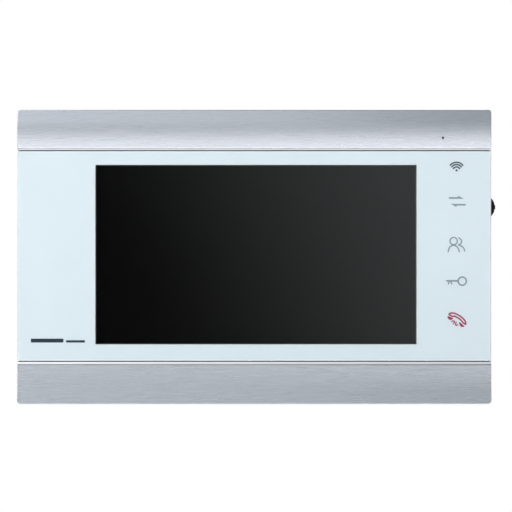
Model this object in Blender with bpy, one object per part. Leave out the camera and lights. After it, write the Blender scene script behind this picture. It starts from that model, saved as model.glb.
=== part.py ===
"""Wall-mounted video intercom monitor with a 7-inch screen.

X runs to the viewer's right, Z up, and the front faces -Y. The origin is the middle of the wall
bracket's back face, so the wall is the plane y = 0. Shapes are described in millimetres by x, by the
depth d out from the wall (d = -y) and by z, and are written to the meshes in metres.
"""

from math import cos, pi, radians, sin, sqrt

import bmesh
import bpy
from mathutils import Vector

MM = 0.001
GAP = 0.3  # clearance between pieces that rest on each other

# Body outline
BODY_WIDTH = 229.0
BODY_HEIGHT = 142.0
HALF_WIDTH = BODY_WIDTH / 2
HALF_HEIGHT = BODY_HEIGHT / 2

# Depths of the layers, from the wall (0) to the front: (back face, front face)
BRACKET = (0.0, 1.2)
COVER = (0.3, 10.2)
BOARD = (COVER[1], COVER[1] + 1.6)
FRAME = (COVER[1] + GAP, 20.2)
LCD = (14.0, 19.7)
TOUCH_BOARD = (16.8, 17.8)
FILM = (FRAME[1] + 0.25, FRAME[1] + 0.5)
GLASS = (FRAME[1] + 0.7, FRAME[1] + 2.7)
STRIP = (FRAME[1] + GAP, 23.18)  # back face, and front of the lip beside the glass
STRIP_SLOPES = {"top": (0.11, -0.035), "bottom": (0.03, 0.08)}  # near the lip, near the outer edge

# Front panel
PANEL_TOP = 51.14
PANEL_BOTTOM = -50.2
PANEL_HALF_WIDTH = HALF_WIDTH - 0.9
STRIP_EDGE = 0.45  # open line between the glass and a strip
STRIP_TOP_INNER = PANEL_TOP + STRIP_EDGE
STRIP_BOTTOM_INNER = PANEL_BOTTOM - STRIP_EDGE
SCREEN_X = 0.86
SCREEN_Z = 1.13
SCREEN_WIDTH = 155.5
SCREEN_HEIGHT = 86.9

# LCD module, standard 7-inch outline with its deeper margin at the bottom
LCD_X = (-81.7, 83.2)
LCD_Z = (-50.6, 49.4)

# Wall bracket
BRACKET_HALF_WIDTH = 55.0
BRACKET_HALF_HEIGHT = 42.0
CABLE_WINDOW_X = (-27.0, 27.0)
CABLE_WINDOW_Z = (7.0, 33.0)
HOOK_X = 44.0
HOOK_WIDTH = 9.0
HOOK_FEET = (-34.0, 26.0)
HOOK_HEIGHT = 7.2
HOOK_REACH = 5.0
LIFT_OFF = 7.0  # travel of the monitor off its hooks

# Casing walls
WALL = 2.0
COVER_INSET = 1.1
BACK_ROUND = 3.3
RECESS_FLOOR = BRACKET[1] + 0.4
RECESS_INSIDE = 3.4
BAY_X = (-29.0, 29.0)
BAY_Z = (5.0, 35.0)
WEB_BACK = 18.8
RIM_FRONT = 22.6  # front edge of the frame's side rims, beside the glass
FRAME_STEP = 12.3
FLANGE = 1.9  # thickness of a strip's outer flange

# Fasteners
COVER_SCREWS = [(-104.0, -61.0), (0.0, -61.0), (104.0, -61.0), (-104.0, 61.0), (0.0, 61.0), (104.0, 61.0)]
TOUCH_PINS = [(101.8, -39.0), (89.4, 46.6), (101.8, 46.6)]  # heat-staked pins
BOARD_SCREWS = [(-57.0, -39.0), (69.0, -39.0), (-57.0, 41.0), (69.0, 41.0)]

# Controls, sound and marks
TOUCH_X = (87.0, 104.0)
TOUCH_Z = (-43.0, 50.0)
MARK_X = 97.55
MARK_HEIGHTS = [41.6, 26.6, 6.0, -11.7, -30.6]
MIC = (91.1, 57.4)
JOG_Z = 24.26
JOG_RADIUS = 6.2
JOG_CENTRE_X = HALF_WIDTH - 3.4  # middle of the lever's drum
JOG_AXIS_X = HALF_WIDTH - 4.7  # pin that the lever tilts on
JOG = (12.4, 15.4)
JOG_NOSE = HALF_WIDTH + 2.95
JOG_TRAVEL = 0.5
SPEAKER = (-86.0, -30.0)
GRILLE_RADIUS = 12.6

# name: (colour, roughness, metallic)
FINISHES = {
    "galvanised_steel": ((0.62, 0.64, 0.66), 0.38, 1.0),
    "cover_plastic": ((0.70, 0.71, 0.72), 0.55, 0.0),
    "frame_plastic": ((0.66, 0.67, 0.71), 0.40, 0.2),
    "brushed_aluminium": ((0.66, 0.68, 0.71), 0.34, 1.0),
    "clear_glass": ((0.86, 0.93, 0.95), 0.03, 0.0),
    "white_print": ((0.84, 0.91, 0.95), 0.45, 0.0),
    "black_foam": ((0.02, 0.02, 0.02), 0.90, 0.0),
    "lcd_glass": ((0.01, 0.01, 0.012), 0.12, 0.0),
    "thin_steel": ((0.60, 0.61, 0.62), 0.30, 1.0),
    "white_plastic": ((0.85, 0.85, 0.83), 0.50, 0.0),
    "flex_lead": ((0.55, 0.28, 0.05), 0.40, 0.0),
    "green_board": ((0.02, 0.16, 0.07), 0.40, 0.0),
    "chip_black": ((0.03, 0.03, 0.035), 0.50, 0.0),
    "spring_steel": ((0.70, 0.68, 0.62), 0.25, 1.0),
    "speaker_paper": ((0.05, 0.05, 0.05), 0.80, 0.0),
    "rubber": ((0.03, 0.03, 0.03), 0.70, 0.0),
    "jog_plastic": ((0.012, 0.012, 0.014), 0.35, 0.0),
    "red_wire": ((0.55, 0.03, 0.02), 0.45, 0.0),
    "black_wire": ((0.02, 0.02, 0.02), 0.45, 0.0),
    "header_plastic": ((0.80, 0.78, 0.70), 0.50, 0.0),
    "zinc_screw": ((0.55, 0.56, 0.58), 0.30, 1.0),
    "blank_label": ((0.80, 0.80, 0.78), 0.60, 0.0),
}


# ---------------------------------------------------------------- scene and materials

def clear_scene():
    for item in list(bpy.data.objects):
        bpy.data.objects.remove(item, do_unlink=True)


def finish(name):
    """The Principled material of this finish, made once."""
    material = bpy.data.materials.get(name)
    if material is None:
        colour, roughness, metallic = FINISHES[name]
        material = bpy.data.materials.new(name)
        material.use_nodes = True
        shader = material.node_tree.nodes["Principled BSDF"]
        shader.inputs["Base Color"].default_value = (*colour, 1.0)
        shader.inputs["Roughness"].default_value = roughness
        shader.inputs["Metallic"].default_value = metallic
    return material


# ---------------------------------------------------------------- shapes: (points, faces)

def loft(rings):
    """A closed skin over rings of (x, d, z) points that all have the same count."""
    count = len(rings[0])
    points = [point for ring in rings for point in ring]
    faces = [list(range(count)), [len(points) - 1 - i for i in range(count)]]
    for first in range(0, len(points) - count, count):
        for i in range(count):
            after = (i + 1) % count
            faces.append([first + i, first + after, first + count + after, first + count + i])
    return points, faces


def prism(outline, axis, low, high):
    """An outline pushed from low to high along X, along the depth (D) or along Z."""
    place = {
        "X": lambda u, v, t: (t, u, v),
        "D": lambda u, v, t: (u, t, v),
        "Z": lambda u, v, t: (u, v, t),
    }[axis]
    return loft([[place(u, v, t) for u, v in outline] for t in (low, high)])


def block(x, d, z):
    """A rectangular block from three (low, high) pairs."""
    return prism([(x[0], z[0]), (x[1], z[0]), (x[1], z[1]), (x[0], z[1])], "D", *d)


def rounded(x, z, radius, steps=4):
    """Points of a rectangle with round corners."""
    corners = [(x[1], z[1], 0), (x[0], z[1], 90), (x[0], z[0], 180), (x[1], z[0], 270)]
    points = []
    for corner_x, corner_z, start in corners:
        centre_x = corner_x - radius if corner_x == x[1] else corner_x + radius
        centre_z = corner_z - radius if corner_z == z[1] else corner_z + radius
        for step in range(steps + 1):
            angle = radians(start + 90 * step / steps)
            points.append((centre_x + radius * cos(angle), centre_z + radius * sin(angle)))
    return points


def ring(half_x, half_z, radius, depth):
    """A rounded rectangle about the body's middle, at one depth."""
    return [(x, depth, z) for x, z in rounded((-half_x, half_x), (-half_z, half_z), radius)]


def turned(profile, centre, segments=24):
    """A closed (radius, depth) profile turned about the depth axis through centre (x, z)."""
    points = []
    index = []
    for radius, depth in profile:
        if radius == 0:
            index.append([len(points)] * segments)
            points.append((centre[0], depth, centre[1]))
            continue
        index.append([len(points) + i for i in range(segments)])
        for i in range(segments):
            angle = 2 * pi * i / segments
            points.append((centre[0] + radius * cos(angle), depth, centre[1] + radius * sin(angle)))
    faces = []
    for here, there in zip(index, index[1:] + index[:1]):
        for i in range(segments):
            after = (i + 1) % segments
            corners = dict.fromkeys([here[i], here[after], there[after], there[i]])
            if len(corners) > 2:
                faces.append(list(corners))
    return points, faces


def cylinder(centre, radius, d, segments=24):
    """A round bar along the depth."""
    return turned([(0, d[0]), (radius, d[0]), (radius, d[1]), (0, d[1])], centre, segments)


# ---------------------------------------------------------------- objects

def mesh_object(name, shapes):
    """One object, in metres, holding these shapes with their faces pointing out."""
    mesh = bpy.data.meshes.new(name)
    body = bmesh.new()
    for points, faces in shapes:
        corners = [body.verts.new(Vector((x, -d, z)) * MM) for x, d, z in points]
        for face in faces:
            body.faces.new([corners[i] for i in face])
    bmesh.ops.recalc_face_normals(body, faces=body.faces)
    body.to_mesh(mesh)
    body.free()
    item = bpy.data.objects.new(name, mesh)
    bpy.context.scene.collection.objects.link(item)
    return item


def part(name, material, *shapes, smooth=False):
    item = mesh_object(name, shapes)
    item.data.materials.append(finish(material))
    if smooth:
        item.data.shade_smooth()
        item.data.set_sharp_from_angle(angle=radians(35))
    return item


def bevel(item, width, segments=2):
    modifier = item.modifiers.new("edge", "BEVEL")
    modifier.width = width * MM
    modifier.segments = segments
    modifier.limit_method = "ANGLE"
    modifier.angle_limit = radians(40)


def combine(item, operation, *shapes):
    """Cuts, joins or keeps the common volume with a hidden tool made of separate shapes."""
    number = len(item.modifiers)
    tool = mesh_object(f"{item.name}_tool_{number}", shapes)
    tool.hide_render = True
    tool.display_type = "WIRE"
    modifier = item.modifiers.new(f"{operation.lower()}_{number}", "BOOLEAN")
    modifier.operation = operation
    modifier.solver = "EXACT"
    modifier.object = tool


def cut(item, *shapes):
    combine(item, "DIFFERENCE", *shapes)


def join(item, *shapes):
    combine(item, "UNION", *shapes)


def wire(name, material, points, radius, sides=1):
    """A round wire through (x, d, z) points."""
    curve = bpy.data.curves.new(name, "CURVE")
    curve.dimensions = "3D"
    curve.bevel_depth = radius * MM
    curve.bevel_resolution = sides
    curve.use_fill_caps = True
    spline = curve.splines.new("POLY")
    spline.points.add(len(points) - 1)
    for target, (x, d, z) in zip(spline.points, points):
        target.co = (x * MM, -d * MM, z * MM, 1.0)
    item = bpy.data.objects.new(name, curve)
    item.data.materials.append(finish(material))
    bpy.context.scene.collection.objects.link(item)


def smooth_route(stops, steps=4):
    """Points of a Catmull-Rom curve through the stops."""
    stops = [Vector(stop) for stop in stops]
    padded = [2 * stops[0] - stops[1], *stops, 2 * stops[-1] - stops[-2]]
    points = []
    for i in range(1, len(padded) - 2):
        before, start, end, after = padded[i - 1:i + 3]
        for step in range(steps):
            t = step / steps
            points.append(0.5 * (
                2 * start + (end - before) * t
                + (2 * before - 5 * start + 4 * end - after) * t ** 2
                + (3 * start - before - 3 * end + after) * t ** 3
            ))
    points.append(stops[-1])
    return points


def ribbon(name, route, across, thickness, axis):
    """A flat flexible lead: a route in one plane, thickened, then pushed across its width."""
    route = [Vector(point) for point in route]
    left = []
    right = []
    for i, point in enumerate(route):
        along = route[min(i + 1, len(route) - 1)] - route[max(i - 1, 0)]
        side = Vector((-along.y, along.x)).normalized() * (thickness / 2)
        left.append(tuple(point + side))
        right.append(tuple(point - side))
    part(name, "flex_lead", prism(left + right[::-1], axis, *across))


# ---------------------------------------------------------------- wall bracket

def hook(foot_z, centre_x):
    """A tab bent out of the plate and then up, behind which the rear cover hangs."""
    back = BRACKET[1] - 0.4
    profile = [
        (back, foot_z),
        (HOOK_REACH - 0.6, foot_z),
        (HOOK_REACH, foot_z + 0.6),
        (HOOK_REACH, foot_z + HOOK_HEIGHT - 0.8),
        (HOOK_REACH - 0.6, foot_z + HOOK_HEIGHT),
        (HOOK_REACH - 1.2, foot_z + HOOK_HEIGHT),
        (HOOK_REACH - 1.2, foot_z + 1.2),
        (back, foot_z + 1.2),
    ]
    return prism(profile, "X", centre_x - HOOK_WIDTH / 2, centre_x + HOOK_WIDTH / 2)


def make_bracket():
    half_x, half_z = BRACKET_HALF_WIDTH, BRACKET_HALF_HEIGHT
    outline = rounded((-half_x, half_x), (-half_z, half_z), 5.0)
    bracket = part("wall_bracket", "galvanised_steel", prism(outline, "D", *BRACKET))
    hooks = [(foot_z, side * HOOK_X) for foot_z in HOOK_FEET for side in (-1, 1)]
    through = (BRACKET[0] - 1, BRACKET[1] + 1)
    blank_half = HOOK_WIDTH / 2 + 0.6
    blanks = [
        block((x - blank_half, x + blank_half), through, (foot_z + 1.2, foot_z + 9.4))
        for foot_z, x in hooks
    ]
    window = prism(rounded(CABLE_WINDOW_X, CABLE_WINDOW_Z, 2.0), "D", *through)
    screw_spots = [(x, z) for x in (-30.0, 30.0) for z in (-36.5, 37.5)] + [(-50.0, 0.0), (50.0, 0.0)]
    screw_holes = [cylinder(spot, 2.1, through, 12) for spot in screw_spots]
    cut(bracket, window, *blanks, *screw_holes)
    join(bracket, *[hook(foot_z, x) for foot_z, x in hooks])


# ---------------------------------------------------------------- rear cover

def cover_shell():
    """Rings from the inner floor to the rim and back round the rounded outside."""
    half_x = HALF_WIDTH - COVER_INSET
    half_z = HALF_HEIGHT - COVER_INSET
    back, rim = COVER
    rings = [
        ring(half_x - 5.5, half_z - 5.5, 2.0, back + WALL),
        ring(half_x - 2.5, half_z - 2.5, 2.5, back + 4.2),
        ring(half_x - WALL, half_z - WALL, 2.5, rim),
        ring(half_x, half_z, 3.0, rim),
    ]
    steps = 4
    for step in range(steps + 1):
        angle = radians(90 * step / steps)
        inset = 0.4 + BACK_ROUND * (1 - cos(angle))
        depth = back + BACK_ROUND * (1 - sin(angle))
        rings.append(ring(half_x - inset, half_z - inset, 3.0, depth))
    return loft(rings)


def grille_slots():
    """Slots over the loudspeaker, each as long as the circle is wide at its height."""
    slots = []
    for row in range(-3, 4):
        height = row * 3.6
        half = sqrt(GRILLE_RADIUS ** 2 - height ** 2)
        x = (SPEAKER[0] - half, SPEAKER[0] + half)
        z = (SPEAKER[1] + height - 0.9, SPEAKER[1] + height + 0.9)
        slots.append(block(x, (-1, COVER[0] + WALL + 1), z))
    return slots


def vent_slots():
    """A row of narrow slots through the top and the bottom wall."""
    columns = [-24.5 + 7.0 * i for i in range(8)]
    sides = [(65.0, HALF_HEIGHT), (-HALF_HEIGHT, -65.0)]
    return [block((x - 0.8, x + 0.8), (4.6, 8.4), side) for x in columns for side in sides]


def hook_slots():
    """Holes that let each hook in when the monitor is lifted, and drop behind it at rest."""
    half = HOOK_WIDTH / 2 + 0.5
    depth = (RECESS_FLOOR - 0.8, RECESS_INSIDE + 0.6)
    slots = []
    for foot_z in HOOK_FEET:
        for x in (-HOOK_X, HOOK_X):
            height = (foot_z - LIFT_OFF - GAP, foot_z + 1.2 + GAP)
            slots.append(block((x - half, x + half), depth, height))
    return slots


def make_rear_cover():
    cover = part("rear_cover", "cover_plastic", cover_shell())
    back = COVER[0]
    recess_x = BRACKET_HALF_WIDTH + 0.7
    recess_z = (-BRACKET_HALF_HEIGHT - LIFT_OFF - 1.0, BRACKET_HALF_HEIGHT + 0.7)
    pad_x = recess_x + 2.0
    pad_z = (recess_z[0] - 2.0, recess_z[1] + 2.0)
    join(cover, block((-pad_x, pad_x), (back + 1.0, RECESS_INSIDE), pad_z))
    skirt_x = (BAY_X[0] - 1.2, BAY_X[1] + 1.2)
    skirt_z = (BAY_Z[0] - 1.2, BAY_Z[1] + 1.2)
    posts = [cylinder(spot, 3.0, (back + 1.2, BOARD[0] - GAP), 12) for spot in BOARD_SCREWS]
    wells = [cylinder(spot, 4.6, (back + 1.2, 6.3), 12) for spot in COVER_SCREWS]
    join(cover, block(skirt_x, (back + 2.0, BOARD[0] - GAP), skirt_z), *posts, *wells)
    recess = prism(rounded((-recess_x, recess_x), recess_z, 5.0), "D", -1, RECESS_FLOOR)
    label_bed = prism(rounded((61.5, 102.5), (-45.5, -16.5), 1.0), "D", -1, 0.8)
    channel_x = (SPEAKER[0] - GRILLE_RADIUS - 0.4, SPEAKER[0] + GRILLE_RADIUS + 0.4)
    sound_channel = block(channel_x, (-1, 1.1), (-HALF_HEIGHT, SPEAKER[1] + GRILLE_RADIUS + 0.4))
    heads = [cylinder(spot, 3.3, (-1, 4.6), 12) for spot in COVER_SCREWS]
    cut(cover, recess, label_bed, sound_channel, *heads)
    bay = block(BAY_X, (RECESS_FLOOR - 0.8, BOARD[0] + 1), BAY_Z)
    shanks = [cylinder(spot, 1.75, (4.0, 7.0), 8) for spot in COVER_SCREWS]
    pilots = [cylinder(spot, 1.5, (4.6, BOARD[0] + 1), 8) for spot in BOARD_SCREWS]
    cut(cover, bay, *hook_slots(), *shanks, *pilots, *grille_slots(), *vent_slots())
    part("rating_label", "blank_label", block((62.0, 102.0), (0.35, 0.55), (-45.0, -17.0)))


# ---------------------------------------------------------------- front frame and strips

def make_front_frame():
    """A ring wall and a front web; the web holds the LCD, the sense springs and the microphone."""
    rim, front = FRAME
    inner_x = HALF_WIDTH - WALL
    step_z = HALF_HEIGHT - FLANGE - GAP
    inner_z = step_z - WALL
    shell = loft([
        ring(inner_x, inner_z, 1.0, WEB_BACK),
        ring(inner_x, inner_z, 1.0, rim),
        ring(HALF_WIDTH, HALF_HEIGHT - 0.1, 1.0, rim),
        ring(HALF_WIDTH, HALF_HEIGHT - 0.1, 1.0, FRAME_STEP),
        ring(HALF_WIDTH, step_z, 1.0, FRAME_STEP + 0.01),
        ring(HALF_WIDTH, step_z, 1.0, front),
    ])
    frame = part("front_frame", "frame_plastic", shell)
    bosses = [cylinder(spot, 3.6, (6.6, front - 0.7), 12) for spot in COVER_SCREWS]
    pins = [cylinder(spot, 1.0, (16.3, front - 0.7), 8) for spot in TOUCH_PINS]
    side_rims = []
    for side in (-1, 1):
        inner, outer = side * (PANEL_HALF_WIDTH + 0.25), side * HALF_WIDTH
        chamfer = side * 0.25
        profile = [
            (inner, front - 0.7),
            (outer, front - 0.7),
            (outer, RIM_FRONT - 0.3),
            (outer - chamfer, RIM_FRONT),
            (inner, RIM_FRONT),
        ]
        side_rims.append(prism(profile, "Z", STRIP_BOTTOM_INNER + GAP, STRIP_TOP_INNER - GAP))
    join(frame, *bosses, *pins, *side_rims)
    window_x = (LCD_X[0] - 0.4, LCD_X[1] + 0.4)
    window_z = (LCD_Z[0] - 0.4, LCD_Z[1] + 0.4)
    window = block(window_x, (WEB_BACK - 1, front + 1), window_z)
    through = (WEB_BACK - 1, front + 1)
    spring_holes = [cylinder((MARK_X, z), 4.3, through, 16) for z in MARK_HEIGHTS]
    sound_hole = cylinder(MIC, 0.9, through, 12)
    pilots = [cylinder(spot, 1.75, (6.0, 17.0), 8) for spot in COVER_SCREWS]
    jog_slot = cylinder((JOG_CENTRE_X, JOG_Z), JOG_RADIUS + 0.6, (JOG[0] - 0.4, JOG[1] + 0.4), 32)
    cut(frame, window, *spring_holes, sound_hole, *pilots, jog_slot)


def strip_slope(away, slopes):
    """Rise of a strip's front per millimetre, this far from its inner edge.

    The slope changes ever faster over the first 14 mm, and stays the same beyond.
    """
    near, far = slopes
    share = min(max((away - 1.0) / 13.0, 0.0), 1.0)
    return near + (far - near) * share * share


def strip_profile(inner, outer, slopes):
    """Section of a strip as (depth, height), from the lip over the front to the flange.

    inner and outer are heights; the strip may lie above or below the glass.
    """
    out = 1 if outer > inner else -1
    back, lip_front = STRIP
    lip = 0.55
    edge_radius = 0.6
    profile = [
        (back, inner),
        (lip_front - 0.3, inner),
        (lip_front, inner + out * lip),
        (lip_front - 0.08, inner + out * (lip + 0.12)),
    ]
    away = lip + 0.3
    depth = lip_front
    step = 0.8
    while away < abs(outer - inner) - edge_radius:
        profile.append((depth, inner + out * away))
        depth += step * strip_slope(away + step / 2, slopes)
        away += step
    for turn in range(4):
        angle = radians(90 * turn / 3)
        height = outer - out * edge_radius * (1 - sin(angle))
        profile.append((depth - edge_radius * (1 - cos(angle)), height))
    profile += [
        (FRAME_STEP + GAP, outer),
        (FRAME_STEP + GAP, outer - out * FLANGE),
        (back, outer - out * FLANGE),
    ]
    return profile


def make_strip(name, inner, outer, slopes, corner_radius, *holes):
    end = HALF_WIDTH - 0.05
    profile = strip_profile(inner, outer, slopes)
    strip = part(name, "brushed_aluminium", prism(profile, "X", -end - 1, end + 1))
    far = (-outer, outer) if outer > 0 else (outer, -outer)
    outline = rounded((-end, end), far, corner_radius)
    combine(strip, "INTERSECT", prism(outline, "D", FRAME_STEP - 1, STRIP[1] + 2))
    if holes:
        cut(strip, *holes)


def make_front_panel():
    panel_x = (-PANEL_HALF_WIDTH, PANEL_HALF_WIDTH)
    glass = part(
        "front_glass", "clear_glass",
        prism(rounded(panel_x, (PANEL_BOTTOM, PANEL_TOP), 0.8, 2), "D", *GLASS),
    )
    bevel(glass, 0.2, 1)
    film_x = (panel_x[0] + 0.1, panel_x[1] - 0.1)
    film = part(
        "printed_film", "white_print",
        block(film_x, FILM, (PANEL_BOTTOM + 0.1, PANEL_TOP - 0.1)),
    )
    half_x, half_z = SCREEN_WIDTH / 2, SCREEN_HEIGHT / 2
    window = block(
        (SCREEN_X - half_x, SCREEN_X + half_x),
        (FILM[0] - 1, FILM[1] + 1),
        (SCREEN_Z - half_z, SCREEN_Z + half_z),
    )
    cut(film, window)


# ---------------------------------------------------------------- LCD

def make_lcd():
    half_x, half_z = SCREEN_WIDTH / 2, SCREEN_HEIGHT / 2
    view_x = (SCREEN_X - half_x - 1.0, SCREEN_X + half_x + 1.0)
    view_z = (SCREEN_Z - half_z - 1.0, SCREEN_Z + half_z + 1.0)

    gasket_x = (LCD_X[0] + 0.4, LCD_X[1] - 0.4)
    gasket_z = (LCD_Z[0] + 0.8, LCD_Z[1] - 0.4)
    gasket = part("lcd_gasket", "black_foam", block(gasket_x, (LCD[1] + 0.15, FRAME[1] + 0.1), gasket_z))
    cut(gasket, block(view_x, (LCD[1] - 1, FRAME[1] + 1), view_z))

    bezel = part("lcd_bezel", "thin_steel", block(LCD_X, (LCD[0] + 0.6, LCD[1]), LCD_Z))
    bevel(bezel, 0.4, 2)
    inside_x = (LCD_X[0] + 0.5, LCD_X[1] - 0.5)
    inside_z = (LCD_Z[0] + 0.5, LCD_Z[1] - 0.5)
    cut(bezel, block(inside_x, (LCD[0] - 1, LCD[1] - 0.4), inside_z))
    cut(bezel, block(view_x, (LCD[0], LCD[1] + 1), view_z))

    cell_x = (inside_x[0] + GAP, inside_x[1] - GAP)
    cell_z = (inside_z[0] + 1.0, inside_z[1] - GAP)
    part("lcd_cell", "lcd_glass", block(cell_x, (LCD[1] - 2.0, LCD[1] - 0.6), cell_z))
    tray = part("lcd_backlight", "white_plastic", block(cell_x, (LCD[0], LCD[1] - 2.3), cell_z))
    bevel(tray, 0.5, 1)

    bottom = LCD_Z[0]
    loop = [(16.6, bottom - 0.5), (16.4, bottom - 1.6), (15.4, bottom - 2.5), (14.0, bottom - 2.5),
            (13.1, bottom - 1.6), (12.95, bottom - 0.4), (12.95, bottom + 10.0)]
    ribbon("lcd_ribbon", loop, (-8.0, 18.0), 0.25, "X")
    socket = block((-10.0, 20.0), (BOARD[1] + GAP, 13.4), (bottom + 10.3, bottom + 14.8))
    part("lcd_connector", "header_plastic", socket)


# ---------------------------------------------------------------- touch keys

def make_touch_keys():
    board = part("touch_board", "green_board", block(TOUCH_X, TOUCH_BOARD, TOUCH_Z))
    lamps = [block((90.2, 92.2), (TOUCH_BOARD[1] - 0.2, TOUCH_BOARD[1] + 0.6), (z - 0.7, z + 0.7))
             for z in MARK_HEIGHTS]
    controller = block((93.5, 99.5), (TOUCH_BOARD[0] - 1.0, TOUCH_BOARD[0] + 0.2), (-6.0, 0.0))
    socket = block((88.2, 92.4), (TOUCH_BOARD[0] - 1.2, TOUCH_BOARD[0] + 0.2), (-25.0, -15.0))
    join(board, *lamps, controller, socket)
    through = (TOUCH_BOARD[0] - 1, TOUCH_BOARD[1] + 1)
    cut(board, *[cylinder(spot, 1.3, through, 12) for spot in TOUCH_PINS])
    low = TOUCH_BOARD[1] + 0.5
    high = FRAME[1] - 0.2
    turns, steps, radius = 2.5, 8, 3.3
    count = int(turns * steps)
    for number, z in enumerate(MARK_HEIGHTS, start=1):
        coil = []
        for i in range(count + 1):
            angle = 2 * pi * i / steps
            depth = low + (high - low) * i / count
            coil.append((MARK_X + radius * cos(angle), depth, z + radius * sin(angle)))
        wire(f"touch_spring_{number}", "spring_steel", coil, 0.22)
    left = LCD_X[1]
    route = [
        (left + 4.7, 15.3),
        (left + 3.2, 15.2),
        (left + 2.2, 14.4),
        (left + 1.6, 13.4),
        (left + 0.2, 12.95),
        (left - 10.0, 12.95),
    ]
    ribbon("touch_ribbon", route, (-24.0, -16.0), 0.25, "Z")


# ---------------------------------------------------------------- main board

def chip(name, material, centre, width, height, thickness):
    """A flat package on the back of the main board."""
    x = (centre[0] - width / 2, centre[0] + width / 2)
    z = (centre[1] - height / 2, centre[1] + height / 2)
    item = part(name, material, block(x, (BOARD[0] - GAP - thickness, BOARD[0] - GAP), z))
    bevel(item, 0.25, 1)
    return item


def header(name, centre, ways):
    """A white shrouded header, open towards the wall, with one square pin per way."""
    pitch = 2.5
    half = (ways * pitch + 2.4) / 2
    front = BOARD[0] - GAP
    back = front - 7.0
    x = (centre[0] - half, centre[0] + half)
    z = (centre[1] - 2.9, centre[1] + 2.9)
    item = part(name, "header_plastic", block(x, (back, front), z))
    cavity_x = (x[0] + 0.8, x[1] - 0.8)
    cavity_z = (z[0] + 0.7, z[1] - 0.7)
    keys = [block((side - 0.8, side + 0.8), (back - 1, front - 3.0), (z[0] - 1, centre[1]))
            for side in (centre[0] - half / 2, centre[0] + half / 2)]
    cut(item, block(cavity_x, (back - 1, front - 1.4), cavity_z))
    for key in keys:
        cut(item, key)
    pins = []
    pin_z = (centre[1] - 0.32, centre[1] + 0.32)
    for way in range(ways):
        pin_x = centre[0] + (way - (ways - 1) / 2) * pitch
        pins.append(block((pin_x - 0.32, pin_x + 0.32), (back + 1.0, front - 1.0), pin_z))
    join(item, *pins)


def make_main_board():
    board_x = (-62.0, 74.0)
    board_z = (-44.0, 46.0)
    board = part("main_board", "green_board", block(board_x, BOARD, board_z))
    small = []
    for column in range(6):
        for row in range(3):
            x = -30.0 + 4.5 * column
            z = -36.0 + 3.6 * row
            small.append(block((x, x + 2.0), (BOARD[0] - 0.7, BOARD[0] + 0.2), (z, z + 1.2)))
    small.append(block((-20.0, -10.0), (BOARD[0] - 1.1, BOARD[0] + 0.2), (-20.0, -8.0)))
    small.append(block((26.0, 32.0), (BOARD[0] - 1.7, BOARD[0] + 0.2), (-20.0, -15.0)))
    small.append(block((66.0, 71.0), (BOARD[1] - 0.2, BOARD[1] + 1.3), (-25.0, -15.0)))
    join(board, *small)
    cut(board, *[cylinder(spot, 1.5, (BOARD[0] - 1, BOARD[1] + 1), 12) for spot in BOARD_SCREWS])

    chip("processor", "chip_black", (6.0, -14.0), 16.0, 16.0, 1.4)
    chip("wireless_module", "thin_steel", (-46.0, 8.0), 16.0, 12.0, 2.2)
    chip("power_choke", "chip_black", (54.0, 6.0), 8.0, 8.0, 4.0)
    for number, z in enumerate((-8.0, -18.0), start=1):
        front = BOARD[0] - GAP
        can = [(0, front - 5.4), (2.6, front - 5.4), (3.1, front - 5.0), (3.1, front - 1.6),
               (2.9, front - 1.3), (3.1, front - 1.0), (3.1, front), (0, front)]
        part(f"filter_capacitor_{number}", "thin_steel", turned(can, (56.0, z), 16), smooth=True)
    cell = [(0, 7.6), (5.6, 7.6), (6.0, 7.9), (6.0, 9.3), (5.7, 9.6), (0, 9.6)]
    part("backup_battery", "spring_steel", turned(cell, (-48.0, -14.0), 20), smooth=True)

    header("header_door_1", (-13.0, 27.0), 4)
    header("header_door_2", (13.0, 27.0), 4)
    header("header_monitor", (-13.0, 13.0), 4)
    header("header_power", (13.0, 13.0), 2)

    part("wireless_antenna", "flex_lead", block((-50.0, -10.0), (2.7, 3.1), (55.0, 62.0)))
    route = [(-46.0, 8.6, 14.8), (-52.0, 8.0, 22.0), (-63.5, 7.2, 34.0), (-64.0, 6.0, 46.0),
             (-54.0, 4.6, 56.0), (-40.0, 3.9, 58.5)]
    wire("antenna_coax", "black_wire", smooth_route(route), 0.5)


# ---------------------------------------------------------------- sound

def make_speaker():
    gasket = [(17.2, 2.65), (19.6, 2.65), (19.6, 3.1), (17.2, 3.1)]
    part("speaker_gasket", "black_foam", turned(gasket, SPEAKER))
    basket = [(16.9, 3.4), (20.0, 3.4), (20.0, 4.2), (17.8, 4.3), (11.2, 7.2), (6.2, 7.2), (6.2, 6.5),
              (10.8, 6.5), (16.9, 3.9)]
    part("speaker_basket", "thin_steel", turned(basket, SPEAKER), smooth=True)
    magnet = [(0, 7.5), (9.0, 7.5), (9.4, 7.9), (9.4, 10.9), (9.0, 11.3), (0, 11.3)]
    part("speaker_magnet", "chip_black", turned(magnet, SPEAKER), smooth=True)
    cone = [(0, 4.3), (3.0, 4.5), (5.0, 5.2), (12.4, 4.0), (13.9, 3.4), (15.4, 3.6), (15.4, 3.9),
            (13.9, 3.8), (12.6, 4.4), (5.2, 5.6), (5.2, 6.9), (4.6, 6.9), (4.6, 5.5), (2.8, 4.9), (0, 4.7)]
    part("speaker_cone", "speaker_paper", turned(cone, SPEAKER), smooth=True)
    for name, material, aside in (("red", "red_wire", -0.7), ("black", "black_wire", 0.7)):
        stops = [(-71.0, 4.6, -14.4), (-69.6, 6.6, -12.6), (-66.0, 8.6, -9.8), (-61.0, 9.2, -9.0),
                 (-57.0, 9.3, -9.0)]
        route = [(x - aside, depth, z + aside) for x, depth, z in stops]
        wire(f"speaker_wire_{name}", material, smooth_route(route, 3), 0.5)


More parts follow.
